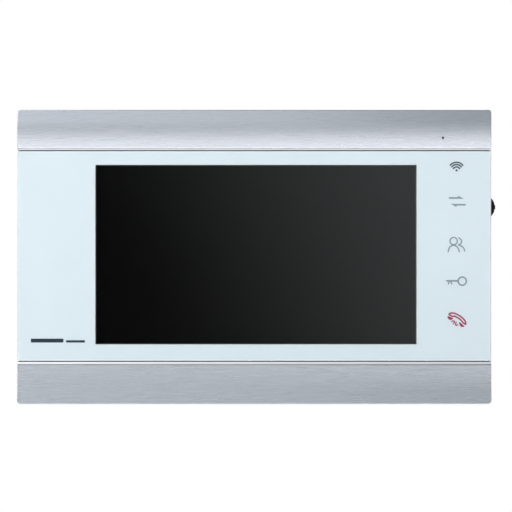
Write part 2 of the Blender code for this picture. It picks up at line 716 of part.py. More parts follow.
def make_microphone():
    boot = [(3.3, 15.4), (4.6, 15.4), (4.6, 18.5), (1.0, 18.5), (1.0, 18.0), (3.3, 18.0)]
    part("mic_boot", "rubber", turned(boot, MIC, 16))
    capsule = [(0, 15.2), (3.0, 15.2), (3.0, 17.5), (2.8, 17.7), (0, 17.7)]
    part("mic_capsule", "thin_steel", turned(capsule, MIC, 16), smooth=True)
    for name, material, aside in (("red", "red_wire", -0.7), ("black", "black_wire", 0.7)):
        stops = [(MIC[0], 14.4, MIC[1]), (MIC[0] - 0.8, 13.3, MIC[1] - 0.2), (84.0, 12.9, 56.0),
                 (72.0, 12.8, 51.0), (63.0, 12.7, 47.0), (60.0, 12.6, 43.0)]
        route = [(x - aside, depth, z + aside) for x, depth, z in stops]
        wire(f"mic_wire_{name}", material, smooth_route(route, 3), 0.5)


# ---------------------------------------------------------------- jog switch

def jog_outline():
    """The lever's drum with its nose, as (x, z), counter-clockwise from below the nose."""
    points = []
    root = 19.0  # half the angle that the nose takes on the drum, in degrees
    steps = 30
    for step in range(steps + 1):
        angle = radians(root + (360 - 2 * root) * step / steps)
        points.append((JOG_CENTRE_X + JOG_RADIUS * cos(angle), JOG_Z + JOG_RADIUS * sin(angle)))
    nose = [(JOG_NOSE - 0.5, -1.15), (JOG_NOSE - 0.12, -0.95), (JOG_NOSE, -0.7), (JOG_NOSE - 0.14, 0.0),
            (JOG_NOSE, 0.7), (JOG_NOSE - 0.12, 0.95), (JOG_NOSE - 0.5, 1.15)]
    return points + [(x, JOG_Z + z) for x, z in nose]


def make_jog_switch():
    """The lever tilts on a pin in a fork; pressed in, the fork slides into its housing."""
    housing_d = (11.9, TOUCH_BOARD[0] - GAP)
    middle = sum(JOG) / 2
    housing_z = (JOG_Z - 5.0, JOG_Z + 5.0)
    housing = part("jog_housing", "chip_black", block((90.0, 101.0), housing_d, housing_z))
    cut(housing, block((92.0, 102.0), (middle - 1.1, middle + 1.1), (JOG_Z - 3.0, JOG_Z + 3.0)))

    arm = 0.6
    base_x = (101.0 + JOG_TRAVEL + GAP, JOG_CENTRE_X - JOG_RADIUS - 0.5)
    tip_x = JOG_AXIS_X + 1.8
    tail_x = 94.5
    outer_d = (JOG[0] - GAP - arm, JOG[1] + GAP + arm)
    upper_half = [
        (tail_x, middle + 0.8),
        (base_x[0], middle + 0.8),
        (base_x[0], outer_d[1]),
        (tip_x, outer_d[1]),
        (tip_x, outer_d[1] - arm),
        (base_x[1], outer_d[1] - arm),
    ]
    fork_profile = upper_half + [(x, 2 * middle - depth) for x, depth in upper_half[::-1]]
    fork = part("jog_fork", "white_plastic", prism(fork_profile, "Z", JOG_Z - 2.6, JOG_Z + 2.6))
    axis = (JOG_AXIS_X, JOG_Z)
    cut(fork, cylinder(axis, 1.1, (outer_d[0] - 1, outer_d[1] + 1), 16))

    pin = [(0, outer_d[0] - 0.1), (0.8, outer_d[0] - 0.1), (0.8, outer_d[1] + 0.1), (0, outer_d[1] + 0.1)]
    part("jog_pin", "spring_steel", turned(pin, axis, 16))

    lever = part("jog_lever", "jog_plastic", prism(jog_outline(), "D", *JOG))
    bevel(lever, 0.3, 2)
    cut(lever, cylinder(axis, 1.1, (JOG[0] - 1, JOG[1] + 1), 16))

    rings = []
    for x, radius in ((92.3, 0.95), (92.9, 0.95), (93.3, 0.75), (93.6, 0.3)):
        rings.append([(x, middle + radius * cos(radians(a)), JOG_Z + radius * sin(radians(a)))
                      for a in range(0, 360, 30)])
    part("jog_dome", "spring_steel", loft(rings))


# ---------------------------------------------------------------- screws

def screw(name, spot, head, shank_end, head_radius, shank_radius):
    """A pan-head screw; head is (outer face, underside) and the shank runs from the head to shank_end."""
    outer, under = head
    toward = 1 if under > outer else -1
    profile = [
        (0, outer),
        (head_radius - 0.6, outer),
        (head_radius, outer + toward * 0.6),
        (head_radius, under),
        (shank_radius, under),
        (shank_radius, shank_end - toward),
        (0, shank_end),
    ]
    item = part(name, "zinc_screw", turned(profile, spot, 12))
    arm, half = 1.5, 0.35
    x, z = spot
    quarter = [(arm, -half), (arm, half), (half, half)]
    outline = []
    for _ in range(4):
        outline += quarter
        quarter = [(-v, u) for u, v in quarter]
    depth = sorted((outer - toward, outer + toward * 0.9))
    cut(item, prism([(x + u, z + v) for u, v in outline], "D", *depth))


def make_screws():
    for number, spot in enumerate(COVER_SCREWS, start=1):
        screw(f"cover_screw_{number}", spot, (2.4, 4.3), 15.0, 2.9, 1.4)
    for number, spot in enumerate(BOARD_SCREWS, start=1):
        screw(f"board_screw_{number}", spot, (13.5, BOARD[1] + GAP), 5.4, 2.6, 1.2)


clear_scene()
make_bracket()
make_rear_cover()
make_front_frame()
mic_hole = cylinder(MIC, 0.6, (STRIP[0] - 1, STRIP[1] + 2), 16)
make_strip("top_strip", STRIP_TOP_INNER, HALF_HEIGHT, STRIP_SLOPES["top"], 1.0, mic_hole)
make_strip("bottom_strip", STRIP_BOTTOM_INNER, -HALF_HEIGHT, STRIP_SLOPES["bottom"], 1.7)
make_front_panel()
make_lcd()
make_touch_keys()
make_main_board()
make_speaker()
make_microphone()
make_jog_switch()
make_screws()
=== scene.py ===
"""Looks of the wall-mounted video intercom monitor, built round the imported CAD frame.

The row frame is in metres: X to the viewer's right, Z up, and the front faces -Y. Shapes here are
described in millimetres by x, by the depth d out from the wall (d = -y) and by z.
"""

from math import cos, pi, radians, sin, sqrt

import bmesh
import bpy
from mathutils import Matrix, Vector


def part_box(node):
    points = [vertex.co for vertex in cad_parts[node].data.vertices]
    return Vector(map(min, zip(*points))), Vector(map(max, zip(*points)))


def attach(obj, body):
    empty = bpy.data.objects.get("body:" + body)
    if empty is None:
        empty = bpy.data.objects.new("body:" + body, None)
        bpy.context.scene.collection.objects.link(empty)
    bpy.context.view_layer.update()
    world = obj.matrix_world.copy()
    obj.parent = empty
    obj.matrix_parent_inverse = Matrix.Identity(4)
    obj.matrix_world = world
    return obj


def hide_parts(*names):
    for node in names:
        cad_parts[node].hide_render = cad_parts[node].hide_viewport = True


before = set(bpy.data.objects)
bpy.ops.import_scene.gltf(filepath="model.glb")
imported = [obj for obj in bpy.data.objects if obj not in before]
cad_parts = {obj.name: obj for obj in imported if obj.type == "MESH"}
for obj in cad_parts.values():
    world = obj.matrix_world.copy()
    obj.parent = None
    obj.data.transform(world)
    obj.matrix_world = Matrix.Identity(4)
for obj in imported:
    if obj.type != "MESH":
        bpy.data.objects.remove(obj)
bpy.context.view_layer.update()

MM = 0.001


def spot(x, d, z):
    """The place in the frame, in metres, of a point given in millimetres."""
    return Vector((x, -d, z)) * MM


def extent(node):
    """A CAD node's (low, high) in x, in depth and in z, in millimetres."""
    low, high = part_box(node)
    return [(low.x / MM, high.x / MM), (-high.y / MM, -low.y / MM), (low.z / MM, high.z / MM)]


# ---------------------------------------------------------------- materials

class NodeTree:
    """Adds nodes to a new material or world."""

    def __init__(self, owner):
        owner.use_nodes = True
        self.tree = owner.node_tree
        self.tree.nodes.clear()

    def add(self, kind, inputs=None, **settings):
        """A new node. An input is a number, a colour or another node's output."""
        node = self.tree.nodes.new(f"ShaderNode{kind}")
        for name, value in settings.items():
            setattr(node, name, value)
        for name, value in (inputs or {}).items():
            if isinstance(value, bpy.types.NodeSocket):
                self.tree.links.new(value, node.inputs[name])
            else:
                node.inputs[name].default_value = value
        return node


class Graph(NodeTree):
    """One new material, with the patterns and the surface that the looks share."""

    def __init__(self, name):
        self.material = bpy.data.materials.new(name)
        super().__init__(self.material)

    def place(self, stretch=(1, 1, 1)):
        """Position in millimetres, each axis divided by its stretch."""
        here = self.add("TexCoord").outputs["Object"]
        scale = tuple(1 / (MM * size) for size in stretch)
        return self.add("VectorMath", {0: here, 1: scale}, operation="MULTIPLY").outputs[0]

    def noise(self, size, detail=2.0, rough=0.5, stretch=(1, 1, 1), warp=0.0):
        """Soft random value from 0 to 1, with features about size millimetres across."""
        inputs = {
            "Vector": self.place(stretch),
            "Scale": 1 / size,
            "Detail": detail,
            "Roughness": rough,
            "Distortion": warp,
        }
        return self.add("TexNoise", inputs).outputs["Fac"]

    def cells(self, size, output="Distance", stretch=(1, 1, 1), **settings):
        """Irregular cells about size millimetres across: how far off the middle, or a random colour."""
        inputs = {"Vector": self.place(stretch), "Scale": 1 / size}
        return self.add("TexVoronoi", inputs, **settings).outputs[output]

    def span(self, value, low, high, start=0.0, end=1.0):
        """value from start to end, mapped to low to high and held there."""
        inputs = {"Value": value, "From Min": start, "From Max": end, "To Min": low, "To Max": high}
        return self.add("MapRange", inputs).outputs["Result"]

    def maths(self, operation, first, second=0.0):
        """One sum on single values."""
        return self.add("Math", {0: first, 1: second}, operation=operation).outputs[0]

    def mix(self, share, first, second):
        """first where share is 0, second where it is 1."""
        inputs = {0: share, 6: opaque(first), 7: opaque(second)}
        return self.add("Mix", inputs, data_type="RGBA").outputs[2]

    def bump(self, height, depth, normal=None):
        """Normal of a surface whose relief is depth millimetres where height goes from 0 to 1."""
        inputs = {"Height": height, "Distance": depth * MM, "Strength": 1.0}
        if normal is not None:
            inputs["Normal"] = normal
        return self.add("Bump", inputs).outputs["Normal"]

    def softened(self, width):
        """Normal of the surface as if its edges were rounded over width millimetres."""
        return self.add("Bevel", {"Radius": width * MM}, samples=4).outputs["Normal"]

    def edges(self, width):
        """1 along the outer edges, fading over width millimetres, 0 on the faces."""
        flat = self.add("NewGeometry").outputs["True Normal"]
        inputs = {0: self.softened(width), 1: flat}
        turn = self.add("VectorMath", inputs, operation="DOT_PRODUCT").outputs["Value"]
        return self.span(turn, 1.0, 0.0, 0.72, 0.995)

    def surface(self, colour, roughness, normal=None, **fixed):
        """The Principled shader. fixed sets its other sockets by name, such as Coat_Weight."""
        inputs = {"Base Color": opaque(colour), "Roughness": roughness}
        for name, value in fixed.items():
            inputs[name.replace("_", " ")] = value
        if normal is not None:
            inputs["Normal"] = normal
        return self.add("BsdfPrincipled", inputs).outputs["BSDF"]

    def finish(self, shader):
        """Makes the shader the material's surface and returns the material."""
        self.add("OutputMaterial", {"Surface": shader})
        return self.material


def opaque(colour):
    """Adds full opacity to a colour and leaves a node's output alone."""
    return (*colour, 1.0) if isinstance(colour, tuple) and len(colour) == 3 else colour


def shade(colour, factor):
    """The colour made lighter or darker."""
    return tuple(min(channel * factor, 1.0) for channel in colour)


def brushed_aluminium():
    """Long horizontal brush lines over a slow waviness of the sheet."""
    graph = Graph("brushed_aluminium")
    hair = graph.noise(0.12, 3.0, 0.6, (160, 1, 1))
    strand = graph.noise(0.35, 2.0, 0.5, (90, 1, 1))
    wave = graph.noise(6.0, 1.0, 0.4, (6, 1, 1))
    streak = graph.maths("ADD", graph.span(hair, 0.0, 0.6), graph.span(strand, 0.0, 0.4))
    tone = graph.mix(streak, (0.290, 0.316, 0.352), (0.310, 0.336, 0.371))
    roughness = graph.span(streak, 0.285, 0.265)
    relief = graph.bump(wave, 0.005)
    relief = graph.bump(streak, 0.0005, relief)
    along = graph.add("CombineXYZ", {"X": 0.0, "Y": 0.0, "Z": 1.0}).outputs["Vector"]
    shader = graph.surface(tone, roughness, relief, Metallic=1.0, Anisotropic=0.55, Tangent=along)
    return graph.finish(shader)


def bare_metal(name, dark, light):
    """Bare aluminium where a strip was cut after its coating. A darker copy of it is painted shade in the
    groove.
    """
    graph = Graph(name)
    mill = graph.noise(0.2, 2.0, 0.5, (25, 1, 1))
    tone = graph.mix(mill, dark, light)
    shader = graph.surface(tone, graph.span(mill, 0.46, 0.54), graph.bump(mill, 0.002), Metallic=0.6)
    return graph.finish(shader)


def clear_glass(name, tint, roughness, frost):
    """A clear face that only tints and reflects. frost is how much of it looks ground instead."""
    straight_on = 0.04  # share reflected where the face is seen straight on
    graph = Graph(name)
    smear = graph.noise(9.0, 3.0, 0.6)
    gloss = graph.add("BsdfGlossy", {"Roughness": graph.span(smear, roughness, roughness + 0.02)})
    clear = graph.add("BsdfTransparent", {"Color": opaque(tint)})
    facing = graph.add("LayerWeight", {"Blend": 0.5}).outputs["Facing"]
    grazing = graph.maths("POWER", facing, 5.0)
    share = graph.span(grazing, straight_on, 1.0)
    inputs = {0: share, 1: clear.outputs["BSDF"], 2: gloss.outputs["BSDF"]}
    shader = graph.add("MixShader", inputs).outputs[0]
    if frost:
        ground = graph.surface((0.62, 0.68, 0.72), graph.span(smear, 0.25, 0.4))
        shader = graph.add("MixShader", {0: frost, 1: shader, 2: ground}).outputs[0]
    return graph.finish(shader)


def white_print(name, colour):
    """Screen-printed ink behind the glass: an even coat with a very fine mesh texture. A brighter copy of it
    paints the highlight along the glass edges.
    """
    graph = Graph(name)
    mesh = graph.noise(0.12, 1.0)
    cloud = graph.noise(30.0, 2.0)
    tone = graph.mix(graph.span(cloud, 0.0, 1.0, 0.3, 0.7), shade(colour, 0.985), shade(colour, 1.01))
    relief = graph.bump(mesh, 0.004)
    return graph.finish(graph.surface(tone, graph.span(mesh, 0.42, 0.52), relief))


def printed_ink(name, colour):
    """Thin printed marks with slightly uneven cover."""
    graph = Graph(name)
    cover = graph.noise(0.35, 3.0, 0.6)
    tone = graph.mix(graph.span(cover, 0.0, 1.0, 0.35, 0.7), shade(colour, 0.92), shade(colour, 1.08))
    rough = graph.span(cover, 0.5, 0.6)
    relief = graph.bump(cover, 0.003)
    return graph.finish(graph.surface(tone, rough, relief, Specular_IOR_Level=0.1))


def screen_glass():
    """The LCD's front polariser: near black, satin, with the fine columns of its cells."""
    graph = Graph("lcd_glass")
    haze = graph.noise(18.0, 2.0)
    columns = graph.add("TexWave", {"Vector": graph.place(), "Scale": 2.1}, bands_direction="X")
    grid = columns.outputs["Fac"]
    tone = graph.mix(grid, (0.0002, 0.0002, 0.0002), (0.0004, 0.0004, 0.0004))
    rough = graph.span(haze, 0.26, 0.32)
    shader = graph.surface(tone, rough, graph.bump(haze, 0.002), Specular_IOR_Level=0.03)
    return graph.finish(shader)


def moulded(name, colour, roughness=0.5, grain=0.5, depth=0.012, wear=0.0, cloud=0.04, **fixed):
    """Moulded plastic: eroded-mould grain, faint flow clouds and edges rubbed paler."""
    graph = Graph(name)
    grains = graph.noise(grain, 2.0, 0.55)
    flow = graph.noise(22.0, 3.0, 0.55, warp=0.6)
    patch = graph.span(flow, 0.0, 1.0, 0.3, 0.7)
    tone = graph.mix(patch, shade(colour, 1 - cloud), shade(colour, 1 + cloud))
    rough = graph.span(grains, roughness - 0.06, roughness + 0.08, 0.3, 0.7)
    if wear:
        scuff = graph.span(graph.noise(3.0, 4.0, 0.7), 0.0, 1.0, 0.42, 0.62)
        rubbed = graph.maths("MULTIPLY", graph.maths("MULTIPLY", graph.edges(0.5), scuff), wear)
        dark = max(colour) < 0.2
        pale = tuple(channel * 1.8 + 0.02 for channel in colour) if dark else shade(colour, 1.25)
        tone = graph.mix(rubbed, tone, pale)
    return graph.finish(graph.surface(tone, rough, graph.bump(grains, depth), **fixed))


def silver_paint():
    """Silver-painted plastic: fine metal flake in a satin coat."""
    graph = Graph("frame_plastic")
    flake = graph.cells(0.09, "Color")
    sparkle = graph.add("SeparateColor", {"Color": flake}).outputs["Red"]
    orange = graph.noise(0.9, 2.0)
    worn = graph.maths("MULTIPLY", graph.edges(0.3), graph.noise(4.0, 3.0, 0.7))
    tone = graph.mix(sparkle, (0.34, 0.345, 0.37), (0.43, 0.435, 0.46))
    tone = graph.mix(worn, tone, (0.52, 0.53, 0.56))
    rough = graph.span(sparkle, 0.34, 0.44)
    relief = graph.bump(orange, 0.004)
    return graph.finish(graph.surface(tone, rough, relief, Metallic=0.45, Coat_Weight=0.25))


def galvanised_steel():
    """Zinc-coated sheet with spangle, rolling lines and bright sheared edges."""
    graph = Graph("galvanised_steel")
    spangle = graph.cells(2.6, "Color", (1, 1, 1.3))
    tilt = graph.add("SeparateColor", {"Color": spangle}).outputs["Green"]
    rolling = graph.noise(0.35, 2.0, 0.5, (1, 1, 60))
    dust = graph.noise(1.2, 4.0, 0.65)
    tone = graph.mix(tilt, (0.52, 0.54, 0.56), (0.60, 0.62, 0.64))
    tone = graph.mix(graph.span(dust, 0.0, 0.35, 0.45, 0.75), tone, (0.45, 0.46, 0.47))
    tone = graph.mix(graph.maths("MULTIPLY", graph.edges(0.35), 0.7), tone, (0.86, 0.87, 0.88))
    rough = graph.maths("ADD", graph.span(tilt, 0.32, 0.42), graph.span(dust, -0.03, 0.08))
    relief = graph.bump(rolling, 0.006)
    return graph.finish(graph.surface(tone, rough, relief, Metallic=1.0))


def sheet_metal(name, colour, roughness, lines=(1, 1, 1), size=0.3):
    """Plain bright metal: drawing lines or fine tooth, with finger-dulled patches."""
    graph = Graph(name)
    drawn = graph.noise(size, 2.0, 0.5, lines)
    dull = graph.span(graph.noise(6.0, 3.0, 0.6), 0.0, 1.0, 0.35, 0.7)
    tone = graph.mix(drawn, shade(colour, 0.9), shade(colour, 1.08))
    grain = graph.span(drawn, roughness - 0.04, roughness + 0.05)
    rough = graph.maths("ADD", grain, graph.span(dull, 0, 0.07))
    return graph.finish(graph.surface(tone, rough, graph.bump(drawn, 0.004), Metallic=1.0))


def foam():
    """Open-cell foam."""
    graph = Graph("black_foam")
    pores = graph.cells(0.35)
    tone = graph.mix(graph.span(pores, 0.0, 1.0, 0.1, 0.6), (0.008, 0.008, 0.008), (0.035, 0.035, 0.036))
    return graph.finish(graph.surface(tone, graph.span(pores, 0.95, 0.8), graph.bump(pores, 0.12)))


def paper_cone():
    """Pressed paper with short fibres."""
    graph = Graph("speaker_paper")
    fibre = graph.noise(0.3, 4.0, 0.7, (3, 1, 1), 1.5)
    tone = graph.mix(fibre, (0.02, 0.02, 0.021), (0.075, 0.073, 0.07))
    return graph.finish(graph.surface(tone, graph.span(fibre, 0.75, 0.95), graph.bump(fibre, 0.05)))


def rubber():
    """Matt rubber with a pale bloom."""
    graph = Graph("rubber")
    skin_noise = graph.noise(0.25, 3.0, 0.6)
    bloom = graph.span(graph.noise(5.0, 2.0), 0.0, 1.0, 0.4, 0.7)
    tone = graph.mix(bloom, (0.018, 0.018, 0.019), (0.04, 0.04, 0.042))
    return graph.finish(graph.surface(tone, graph.span(bloom, 0.6, 0.78), graph.bump(skin_noise, 0.01)))


def sheath(name, colour):
    """A wire's PVC sheath."""
    graph = Graph(name)
    ripple = graph.noise(0.8, 2.0)
    tone = graph.mix(ripple, shade(colour, 0.85), shade(colour, 1.15))
    return graph.finish(graph.surface(tone, graph.span(ripple, 0.36, 0.5), graph.bump(ripple, 0.02)))


def flex_lead():
    """Amber polyimide over parallel copper tracks."""
    graph = Graph("flex_lead")
    waves = graph.add("TexWave", {"Vector": graph.place(), "Scale": 0.35}, bands_direction="X")
    track = graph.span(waves.outputs["Fac"], 0.0, 1.0, 0.45, 0.55)
    film = graph.noise(2.0, 3.0)
    tone = graph.mix(track, (0.40, 0.17, 0.03), (0.62, 0.30, 0.08))
    return graph.finish(graph.surface(tone, graph.span(film, 0.28, 0.45), graph.bump(track, 0.02)))


def circuit_board():
    """Green solder mask over copper, with tracks, pads and glass-cloth weave, and a dark dot of painted shade
    in each pad's hole.
    """
    graph = Graph("green_board")
    routes = graph.cells(2.6, "Distance", distance="MANHATTAN")
    band = graph.maths("PINGPONG", graph.maths("MULTIPLY", routes, 5.0), 0.5)
    track = graph.span(band, 0.0, 1.0, 0.24, 0.28)
    pads = graph.cells(4.1, "Distance")
    pad = graph.span(pads, 1.0, 0.0, 0.10, 0.13)
    # painted shade: a dark dot in each pad stands in for the shade inside its hole
    hole = graph.span(pads, 1.0, 0.0, 0.05, 0.06)
    weave = graph.noise(0.5, 2.0)
    tone = graph.mix(track, (0.006, 0.085, 0.035), (0.02, 0.17, 0.065))
    tone = graph.mix(graph.span(weave, 0.0, 0.25), tone, (0.01, 0.06, 0.03))
    tone = graph.mix(pad, tone, (0.66, 0.62, 0.48))
    tone = graph.mix(hole, tone, (0.02, 0.02, 0.02))
    height = graph.maths("ADD", graph.maths("MULTIPLY", track, 0.6), graph.maths("MULTIPLY", pad, 0.4))
    return graph.finish(graph.surface(tone, graph.span(weave, 0.24, 0.36), graph.bump(height, 0.03)))


def chip_resin():
    """Black moulding compound with fine silica sparkle and rubbed edges."""
    graph = Graph("chip_black")
    silica = graph.noise(0.12, 2.0, 0.7)
    patch = graph.noise(3.0, 3.0)
    tone = graph.mix(graph.span(silica, 0.0, 1.0, 0.45, 0.75), (0.018, 0.018, 0.02), (0.055, 0.055, 0.058))
    tone = graph.mix(graph.maths("MULTIPLY", graph.edges(0.25), 0.5), tone, (0.10, 0.10, 0.105))
    return graph.finish(graph.surface(tone, graph.span(patch, 0.42, 0.6), graph.bump(silica, 0.008)))


def label_stock():
    """Satin polyester label."""
    graph = Graph("blank_label")
    fibre = graph.noise(0.2, 3.0, 0.6)
    crease = graph.noise(7.0, 3.0, 0.6)
    tone = graph.mix(fibre, (0.70, 0.71, 0.72), (0.80, 0.80, 0.80))
    return graph.finish(graph.surface(tone, graph.span(crease, 0.34, 0.5), graph.bump(crease, 0.03)))


def woven_cloth():
    """Fine black acoustic cloth with dark squares between the threads."""
    graph = Graph("acoustic_cloth")
    across, up = (
        graph.add("TexWave", {"Vector": graph.place(), "Scale": 0.5}, bands_direction=axis).outputs["Fac"]
        for axis in "XZ"
    )
    thread = graph.maths("MAXIMUM", across, up)
    tone = graph.mix(thread, (0.004, 0.004, 0.004), (0.05, 0.05, 0.052))
    return graph.finish(graph.surface(tone, graph.span(thread, 0.9, 0.65), graph.bump(thread, 0.12)))


WHITE_INK = (0.345, 0.388, 0.43)
LOOKS = {
    "galvanised_steel": galvanised_steel(),
    "cover_plastic": moulded("cover_plastic", (0.50, 0.51, 0.53), 0.56, 0.55, 0.03, 0.5),
    "frame_plastic": silver_paint(),
    "brushed_aluminium": brushed_aluminium(),
    "clear_glass": clear_glass("clear_glass", (0.985, 0.995, 0.99), 0.03, 0.0),
    "polished_edge": clear_glass("polished_edge", (0.985, 0.998, 0.99), 0.1, 0.12),
    "white_print": white_print("white_print", WHITE_INK),
    "white_outline": white_print("white_outline", (0.361, 0.388, 0.404)),
    # painted highlight: a brighter copy of the white print for the glow along the glass edges
    "painted_edge_highlight": white_print("painted_edge_highlight", (0.36, 0.405, 0.442)),
    # painted shade: near-black sheets that darken the gaps beside the glass
    "painted_gap_shade": moulded("painted_gap_shade", (0.006, 0.006, 0.007), 0.8, 0.3, 0.004),
    "cut_lip": bare_metal("cut_lip", (0.31, 0.324, 0.34), (0.362, 0.376, 0.395)),
    # painted shade: the groove's faces, half as bright as the cut lip, darkened for the shade inside the
    # groove
    "painted_groove_shade": bare_metal("painted_groove_shade", (0.15, 0.155, 0.165), (0.19, 0.195, 0.205)),
    "black_foam": foam(),
    "lcd_glass": screen_glass(),
    "mask_black": moulded("mask_black", (0.002, 0.002, 0.002), 0.6, 0.2, 0.002),
    "thin_steel": sheet_metal("thin_steel", (0.60, 0.61, 0.62), 0.30, (30, 1, 1)),
    "white_plastic": moulded("white_plastic", (0.80, 0.80, 0.78), 0.45, 0.4, 0.008),
    "flex_lead": flex_lead(),
    "green_board": circuit_board(),
    "chip_black": chip_resin(),
    "spring_steel": sheet_metal("spring_steel", (0.70, 0.67, 0.60), 0.24, (1, 1, 1), 0.5),
    "speaker_paper": paper_cone(),
    "rubber": rubber(),
    "jog_plastic": moulded(
        "jog_plastic", (0.0035, 0.0035, 0.004), 0.5, 0.3, 0.006, 0.3, Specular_IOR_Level=0.1
    ),
    "red_wire": sheath("red_wire", (0.50, 0.025, 0.018)),
    "black_wire": sheath("black_wire", (0.018, 0.018, 0.019)),
    "header_plastic": moulded("header_plastic", (0.80, 0.78, 0.70), 0.42, 0.35, 0.006, 0.0, 0.05),
    "zinc_screw": sheet_metal("zinc_screw", (0.62, 0.64, 0.66), 0.28, (1, 1, 1), 0.2),
    "blank_label": label_stock(),
    "dark_ink": printed_ink("dark_ink", (0.012, 0.022, 0.032)),
    "grey_ink": printed_ink("grey_ink", (0.12, 0.158, 0.178)),
    "red_ink": printed_ink("red_ink", (0.17, 0.002, 0.027)),
    "acoustic_cloth": woven_cloth(),
}


def assign(item, *looks):
    """Gives a piece these looks, in the order of its material slots."""
    item.data.materials.clear()
    for look in looks:
        item.data.materials.append(LOOKS[look])


def round_shading(node):
    """Joins a CAD node's facets so that its curves shade smoothly and its corners stay crisp."""
    custom = node.data.attributes.get("custom_normal")
    if custom:
        node.data.attributes.remove(custom)
    node.data.shade_smooth()
    weld = node.modifiers.new("weld", "WELD")
    weld.merge_threshold = 0.001 * MM
    split = node.modifiers.new("crisp", "EDGE_SPLIT")
    split.split_angle = radians(32)
    split.use_edge_sharp = False


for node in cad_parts.values():
    assign(node, node.data.materials[0].name)
    round_shading(node)


# ---------------------------------------------------------------- shapes: (points, faces)

def skin(rings, closed=False):
    """A closed skin over rings with the same count, capped at its ends or joined round."""
    count = len(rings[0])
    points = [point for ring in rings for point in ring]
    total = len(points)
    faces = []
    if not closed:
        faces = [list(range(count)), list(range(total - 1, total - count - 1, -1))]
    for first in range(0, total if closed else total - count, count):
        for i in range(count):
            after = (i + 1) % count
            corners = [first + i, first + after, first + count + after, first + count + i]
            faces.append([corner % total for corner in corners])
    return points, faces


def slab(outline, depth):
    """A flat plate with this (x, z) outline between two depths."""
    return skin([[(x, d, z) for x, z in outline] for d in depth])


def rounded(x, z, radius, steps=6):
    """Points of a rectangle with round corners."""
    centres = [
        (x[1] - radius, z[1] - radius, 0),
        (x[0] + radius, z[1] - radius, 90),
        (x[0] + radius, z[0] + radius, 180),
        (x[1] - radius, z[0] + radius, 270),
    ]
    points = []
    for centre_x, centre_z, start in centres:
        for step in range(steps + 1):
            angle = radians(start + 90 * step / steps)
            points.append((centre_x + radius * cos(angle), centre_z + radius * sin(angle)))
    return points


def arc(centre, radius, start, end, steps=24):
    """Points of an arc, from start to end in degrees, counted from X towards Z."""
    points = []
    for step in range(steps + 1):
        angle = radians(start + (end - start) * step / steps)
        points.append((centre[0] + radius * cos(angle), centre[1] + radius * sin(angle)))
    return points


def smooth(stops, steps=6, closed=False):
    """Points of a Catmull-Rom curve through the stops."""
    stops = [Vector(stop) for stop in stops]
    count = len(stops)
    if closed:
        padded = [stops[-1], *stops, stops[0], stops[1]]
    else:
        padded = [2 * stops[0] - stops[1], *stops, 2 * stops[-1] - stops[-2]]
    points = []
    for i in range(count if closed else count - 1):
        before, start, end, after = padded[i:i + 4]
        for step in range(steps):
            t = step / steps
            point = 0.5 * (
                2 * start + (end - before) * t
                + (2 * before - 5 * start + 4 * end - after) * t ** 2
                + (3 * start - before - 3 * end + after) * t ** 3
            )
            points.append(tuple(point))
    if not closed:
        points.append(tuple(stops[-1]))
    return points


def stroke(path, width, depth, closed=False):
    """A line of even width along (x, z) points, with round ends."""
    path = [Vector(point) for point in path]
    count = len(path)
    half = width / 2
    stations = []
    for i, point in enumerate(path):
        before = path[i - 1] if closed or i else point
        after = path[(i + 1) % count] if closed or i < count - 1 else point
        stations.append((point, (after - before).normalized(), half))
    if not closed:
        turns = [radians(angle) for angle in (80, 60, 40, 20)]
        start, along, _ = stations[0]
        opening = [(start - along * half * sin(turn), along, half * cos(turn)) for turn in turns]
        end, along, _ = stations[-1]
        closing = [(end + along * half * sin(turn), along, half * cos(turn)) for turn in turns[::-1]]
        stations = opening + stations + closing
    rings = []
    for point, along, reach in stations:
        aside = Vector((-along.y, along.x)) * reach
        left, right = point + aside, point - aside
        rings.append([(left.x, depth[1], left.y), (right.x, depth[1], right.y),
                      (right.x, depth[0], right.y), (left.x, depth[0], left.y)])
    return skin(rings, closed)


def turned(profile, centre, segments=32):
    """A closed (radius, depth) profile turned about the depth axis through centre (x, z)."""
    points = []
    index = []
    for radius, depth in profile:
        if radius == 0:
            index.append([len(points)] * segments)
            points.append((centre[0], depth, centre[1]))
            continue
        index.append([len(points) + i for i in range(segments)])
        for i in range(segments):
            angle = 2 * pi * i / segments
            points.append((centre[0] + radius * cos(angle), depth, centre[1] + radius * sin(angle)))
    faces = []
    for here, there in zip(index, index[1:] + index[:1]):
        for i in range(segments):
            after = (i + 1) % segments
            corners = dict.fromkeys([here[i], here[after], there[after], there[i]])
            if len(corners) > 2:
                faces.append(list(corners))
    return points, faces


# ---------------------------------------------------------------- pieces

def mesh_object(name, shapes):
    """An object made of closed shapes, with its normals outward."""
    mesh = bpy.data.meshes.new(name)
    form = bmesh.new()
    for points, faces in shapes:
        corners = [form.verts.new(spot(*point)) for point in points]
        for face in faces:
            form.faces.new([corners[i] for i in face])
    bmesh.ops.recalc_face_normals(form, faces=form.faces)
    form.to_mesh(mesh)
    form.free()
    item = bpy.data.objects.new(name, mesh)
    bpy.context.scene.collection.objects.link(item)
    return item


def piece(name, slot, *shapes, look=None, body="monitor", sharp=35, stands_for=()):
    """A piece made of closed shapes that rides on a body and may stand for CAD nodes.

    Its edges shade sharply where they turn by more than sharp degrees.
    """
    item = mesh_object(name, shapes)
    assign(item, look or slot)
    item.data.shade_smooth()
    item.data.set_sharp_from_angle(angle=radians(sharp))
    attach(item, body)
    if stands_for:
        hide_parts(*stands_for)
    return item


def drill(item, *shapes):
    """Cuts shapes out of a piece."""
    tool = mesh_object(f"{item.name}_tool", shapes)
    modifier = item.modifiers.new("hole", "BOOLEAN")
    modifier.solver = "EXACT"
    modifier.object = tool
    bpy.context.view_layer.objects.active = item
    bpy.ops.object.modifier_apply(modifier=modifier.name)
    bpy.data.objects.remove(tool)
    item.data.set_sharp_from_angle(angle=radians(30))


# ---------------------------------------------------------------- front panel

